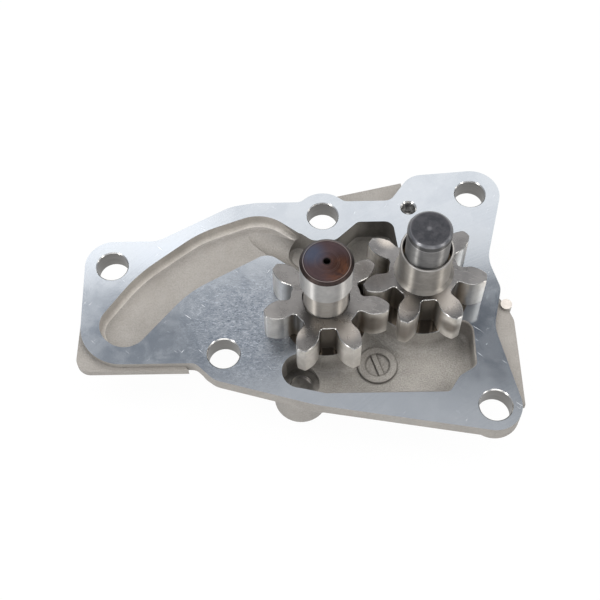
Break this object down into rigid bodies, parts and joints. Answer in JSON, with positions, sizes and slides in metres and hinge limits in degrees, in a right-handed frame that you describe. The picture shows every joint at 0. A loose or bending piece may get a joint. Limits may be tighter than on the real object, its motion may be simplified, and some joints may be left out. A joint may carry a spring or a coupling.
{
  "type": "engine oil pump",
  "caption": "Gear oil pump for an engine: cast cover with oil channels, meshing spur gears, a driven shaft and a fixed pin above it, and a relief valve below.",
  "frame": {"origin": "where the drive shaft's axis meets the cover's machined mounting face", "axes": "+Z along the drive shaft, out of the mounting face towards the engine; +X along the cover's long direction, from the narrow end to the wide end; +Y towards the suction channel's side"},
  "size_m": [0.1514, 0.1035, 0.067],
  "materials": {
    "casting": "machined on the mounting face, as cast elsewhere",
    "gear_steel": "satin, bright on edges",
    "shaft_steel": "ground, dark oxide on the end face",
    "pin_steel": "ground, dark oxide on the end face",
    "bush_metal": "dull, oiled",
    "valve_steel": "ground",
    "spring_steel": "dark wire",
    "plug_steel": "turned"
  },
  "bodies": {
    "cover": {"pump_cover": "casting", "shaft_bush": "bush_metal", "shaft_bore_plug": "plug_steel", "driven_pin": "pin_steel", "relief_seat": "valve_steel", "relief_spring": "spring_steel", "relief_plug": "plug_steel"},
    "drive": {"drive_shaft": "shaft_steel", "drive_gear": "gear_steel", "drive_key": "valve_steel"},
    "driven": {"driven_gear": "gear_steel", "driven_bush": "bush_metal"},
    "relief": {"relief_plunger": "valve_steel"}
  },
  "joints": [
    {"name": "drive_spin", "type": "hinge", "parent": "cover", "child": "drive", "pos_m": [0, 0, 0], "axis": [0, 0, 1], "continuous": true},
    {"name": "driven_spin", "type": "hinge", "parent": "cover", "child": "driven", "pos_m": [0.03347, 0.01023, 0], "axis": [0, 0, 1], "continuous": true},
    {"name": "relief_slide", "type": "slide", "parent": "cover", "child": "relief", "axis": [0, 0, -1], "range_m": [0, 0.0022], "stiffness_N_per_m": 3000, "springref_m": -0.0002, "deforming": ["relief_spring"]}
  ],
  "couplings": [
    {"joint": "driven_spin", "follows": "drive_spin", "ratio": -1}
  ]
}
